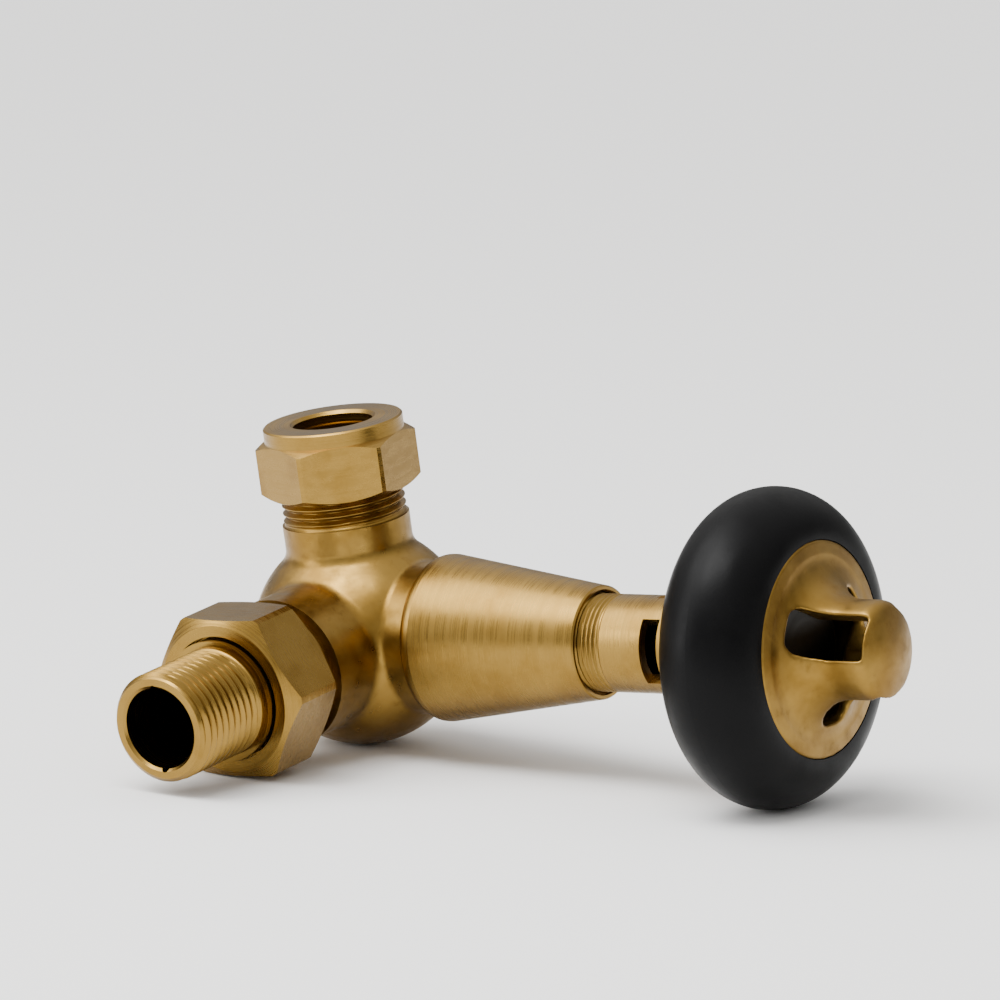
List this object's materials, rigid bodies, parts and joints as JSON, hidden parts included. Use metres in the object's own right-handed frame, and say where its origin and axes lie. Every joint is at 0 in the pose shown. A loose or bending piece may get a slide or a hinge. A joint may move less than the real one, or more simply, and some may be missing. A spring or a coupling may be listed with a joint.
{
  "type": "angled thermostatic radiator valve",
  "caption": "Angled brass radiator valve with a compression pipe port, union tail and a temperature sensing head carried in a black ring wheel with a windowed knob.",
  "frame": {"origin": "the point in the middle of the ball where the axes of the pipe port, the radiator tail and the head cross", "axes": "+Z out of the pipe port, -Y out of the radiator tail, +X along the head towards the knob"},
  "size_m": [0.1405, 0.0954, 0.0722],
  "materials": {
    "brass": "turned, satin, unlacquered",
    "cast_brass": "cast and finely blasted, satin",
    "black_wheel": "satin black",
    "black_nylon": "moulded, matt",
    "steel": "bright drawn",
    "capsule_metal": "drawn, satin",
    "seal_rubber": "black, smooth"
  },
  "bodies": {
    "valve": {"valve_body": "cast_brass", "head_cone": "brass", "insert_body": "brass", "insert_seal": "seal_rubber", "gland_nut": "brass", "gland_seal": "seal_rubber", "return_spring": "steel"},
    "olive": {"olive": "brass"},
    "compression_nut": {"compression_nut": "brass"},
    "tail": {"union_tail": "brass", "tail_seal": "seal_rubber"},
    "union_nut": {"union_nut": "brass"},
    "sensor": {"sensor_capsule": "capsule_metal", "sensor_holder": "black_nylon"},
    "handwheel": {"head_sleeve": "brass", "hub_knob": "cast_brass", "wheel_ring": "black_wheel", "rod_guide": "black_nylon", "holder_clip": "steel"},
    "spindle": {"spindle": "steel", "spring_cap": "steel", "spindle_clip": "steel", "disc_holder": "brass", "valve_disc": "seal_rubber", "disc_screw": "brass", "push_rod": "brass", "relief_cup": "brass", "relief_spring": "steel", "cup_clip": "steel", "sensor_piston": "steel"}
  },
  "joints": [
    {"name": "olive_lift", "type": "slide", "parent": "valve", "child": "olive", "axis": [0, 0, 1], "range_m": [0, 0.0075]},
    {"name": "compression_nut_turn", "type": "hinge", "parent": "olive", "child": "compression_nut", "pos_m": [0, 0, 0.034], "axis": [0, 0, 1], "range_deg": [0, 1800]},
    {"name": "tail_draw", "type": "slide", "parent": "valve", "child": "tail", "axis": [0, -1, 0], "range_m": [0, 0.00726]},
    {"name": "union_nut_turn", "type": "hinge", "parent": "tail", "child": "union_nut", "pos_m": [0, -0.038, 0], "axis": [0, -1, 0], "range_deg": [0, 1440]},
    {"name": "sensor_slide", "type": "slide", "parent": "valve", "child": "sensor", "axis": [1, 0, 0], "range_m": [-0.002, 0.0005], "deforming": ["return_spring"]},
    {"name": "handwheel_turn", "type": "hinge", "parent": "sensor", "child": "handwheel", "pos_m": [0.093, 0, 0], "axis": [1, 0, 0], "range_deg": [-720, 180]},
    {"name": "sensor_stroke", "type": "slide", "parent": "sensor", "child": "spindle", "axis": [1, 0, 0], "range_m": [-0.0005, 0.0003], "stiffness_N_per_m": 2000, "deforming": ["return_spring"]}
  ],
  "couplings": [
    {"joint": "compression_nut_turn", "follows": "olive_lift", "rad_per_m": 4188.7},
    {"joint": "union_nut_turn", "follows": "tail_draw", "rad_per_m": 3463.7},
    {"joint": "handwheel_turn", "follows": "sensor_slide", "rad_per_m": 6283.1}
  ]
}
